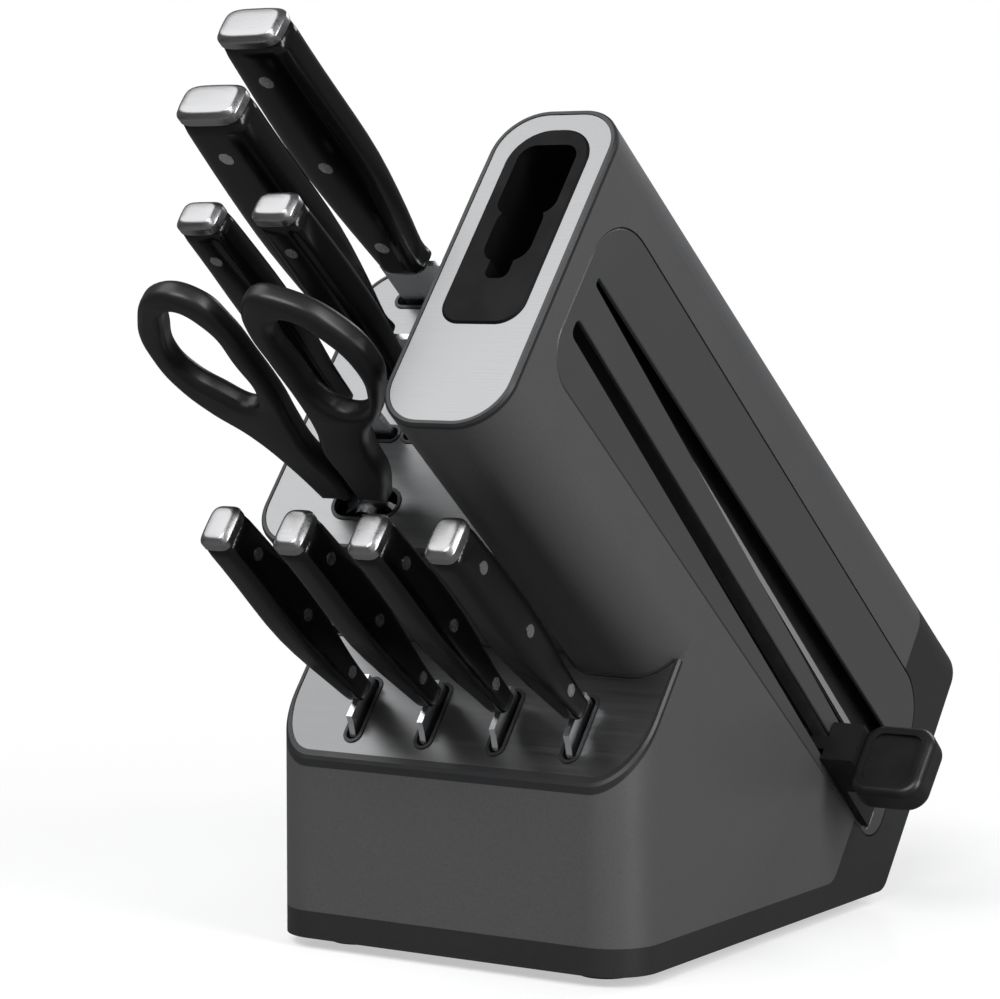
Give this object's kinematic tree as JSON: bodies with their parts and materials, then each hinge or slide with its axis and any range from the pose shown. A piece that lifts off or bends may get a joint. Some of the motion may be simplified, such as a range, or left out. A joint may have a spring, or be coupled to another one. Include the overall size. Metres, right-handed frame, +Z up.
{
  "type": "knife block with knives",
  "caption": "Slanted two-step block with brushed decks, kitchen knives, shears and a slide sharpener tower with a side lever.",
  "frame": {"origin": "on the table, under the middle of the block's footprint", "axes": "+Z up, -Y towards the front of the block, +X towards the sharpener tower"},
  "size_m": [0.1955, 0.3592, 0.3353],
  "materials": {
    "housing_grey": "satin metallic dark grey paint",
    "cover_grey": "satin darker grey paint",
    "tray_black": "satin moulded black plastic",
    "brushed_plate": "fine brushing across the block",
    "insert_black": "matte moulded black plastic",
    "panel_grey": "satin charcoal plastic",
    "inner_black": "matte black plastic",
    "rod_steel": "ground steel rod",
    "stone": "grey bonded abrasive stone",
    "lever_black": "satin black plastic",
    "handle_black": "polished black moulded handle",
    "blade_steel": "fine ground blade steel",
    "cap_steel": "satin steel",
    "rivet_steel": "polished steel",
    "shears_black": "satin black moulded grips",
    "foot_rubber": "black rubber"
  },
  "bodies": {
    "block": {"base_cover": "cover_grey", "front_housing": "housing_grey", "deck_housing": "housing_grey", "sharpener_housing": "housing_grey", "rubber_feet": "foot_rubber", "lower_deck_tray": "tray_black", "lower_deck_plate": "brushed_plate", "upper_deck_tray": "tray_black", "upper_deck_plate": "brushed_plate", "top_trim": "tray_black", "top_plate": "brushed_plate", "sharpener_insert": "insert_black", "track_panel": "panel_grey", "track_channel": "inner_black", "guide_rods": "rod_steel", "rod_brackets": "inner_black", "blade_sleeves": "inner_black"},
    "lever": {"lever_stem": "lever_black", "lever_knob": "lever_black", "carriage": "inner_black", "wheel_axles": "rod_steel"},
    "left_wheel": {"left_stone_wheel": "stone"},
    "right_wheel": {"right_stone_wheel": "stone"},
    "chef_knife": {"chef_knife_blade": "blade_steel", "chef_knife_handle": "handle_black", "chef_knife_rivets": "rivet_steel", "chef_knife_end_cap": "cap_steel"},
    "carving_knife": {"carving_knife_blade": "blade_steel", "carving_knife_handle": "handle_black", "carving_knife_rivets": "rivet_steel", "carving_knife_end_cap": "cap_steel"},
    "paring_knife": {"paring_knife_blade": "blade_steel", "paring_knife_handle": "handle_black", "paring_knife_rivets": "rivet_steel", "paring_knife_end_cap": "cap_steel"},
    "utility_knife": {"utility_knife_blade": "blade_steel", "utility_knife_handle": "handle_black", "utility_knife_rivets": "rivet_steel", "utility_knife_end_cap": "cap_steel"},
    "steak_knife_1": {"steak_knife_1_blade": "blade_steel", "steak_knife_1_handle": "handle_black", "steak_knife_1_rivets": "rivet_steel", "steak_knife_1_end_cap": "cap_steel"},
    "steak_knife_2": {"steak_knife_2_blade": "blade_steel", "steak_knife_2_handle": "handle_black", "steak_knife_2_rivets": "rivet_steel", "steak_knife_2_end_cap": "cap_steel"},
    "steak_knife_3": {"steak_knife_3_blade": "blade_steel", "steak_knife_3_handle": "handle_black", "steak_knife_3_rivets": "rivet_steel", "steak_knife_3_end_cap": "cap_steel"},
    "steak_knife_4": {"steak_knife_4_blade": "blade_steel", "steak_knife_4_handle": "handle_black", "steak_knife_4_rivets": "rivet_steel", "steak_knife_4_end_cap": "cap_steel"},
    "shears_right": {"shears_right_handle": "shears_black", "shears_right_blade": "blade_steel", "shears_pivot_screw": "rivet_steel"},
    "shears_left": {"shears_left_handle": "shears_black", "shears_left_blade": "blade_steel"}
  },
  "joints": [
    {"name": "chef_knife_lift", "type": "slide", "parent": "block", "child": "chef_knife", "axis": [0, -0.7771, 0.6293], "range_m": [0, 0.22]},
    {"name": "carving_knife_lift", "type": "slide", "parent": "block", "child": "carving_knife", "axis": [0, -0.7771, 0.6293], "range_m": [0, 0.215]},
    {"name": "paring_knife_lift", "type": "slide", "parent": "block", "child": "paring_knife", "axis": [0, -0.7771, 0.6293], "range_m": [0, 0.105]},
    {"name": "utility_knife_lift", "type": "slide", "parent": "block", "child": "utility_knife", "axis": [0, -0.7771, 0.6293], "range_m": [0, 0.145]},
    {"name": "steak_knife_1_lift", "type": "slide", "parent": "block", "child": "steak_knife_1", "axis": [0, -0.7771, 0.6293], "range_m": [0, 0.135]},
    {"name": "steak_knife_2_lift", "type": "slide", "parent": "block", "child": "steak_knife_2", "axis": [0, -0.7771, 0.6293], "range_m": [0, 0.135]},
    {"name": "steak_knife_3_lift", "type": "slide", "parent": "block", "child": "steak_knife_3", "axis": [0, -0.7771, 0.6293], "range_m": [0, 0.135]},
    {"name": "steak_knife_4_lift", "type": "slide", "parent": "block", "child": "steak_knife_4", "axis": [0, -0.7771, 0.6293], "range_m": [0, 0.135]},
    {"name": "shears_lift", "type": "slide", "parent": "block", "child": "shears_right", "axis": [0, -0.7771, 0.6293], "range_m": [0, 0.12]},
    {"name": "shears_open", "type": "hinge", "parent": "shears_right", "child": "shears_left", "pos_m": [-0.033, -0.09378, 0.1608], "axis": [0, -0.6293, -0.7771], "range_deg": [0, 14]},
    {"name": "lever_slide", "type": "slide", "parent": "block", "child": "lever", "axis": [0, -0.7495, 0.662], "range_m": [0, 0.205]},
    {"name": "left_wheel_spin", "type": "hinge", "parent": "lever", "child": "left_wheel", "pos_m": [0.04545, 0.05792, 0.06525], "axis": [0, -0.7495, 0.662], "continuous": true},
    {"name": "right_wheel_spin", "type": "hinge", "parent": "lever", "child": "right_wheel", "pos_m": [0.05845, 0.05792, 0.06525], "axis": [0, -0.7495, 0.662], "continuous": true}
  ]
}
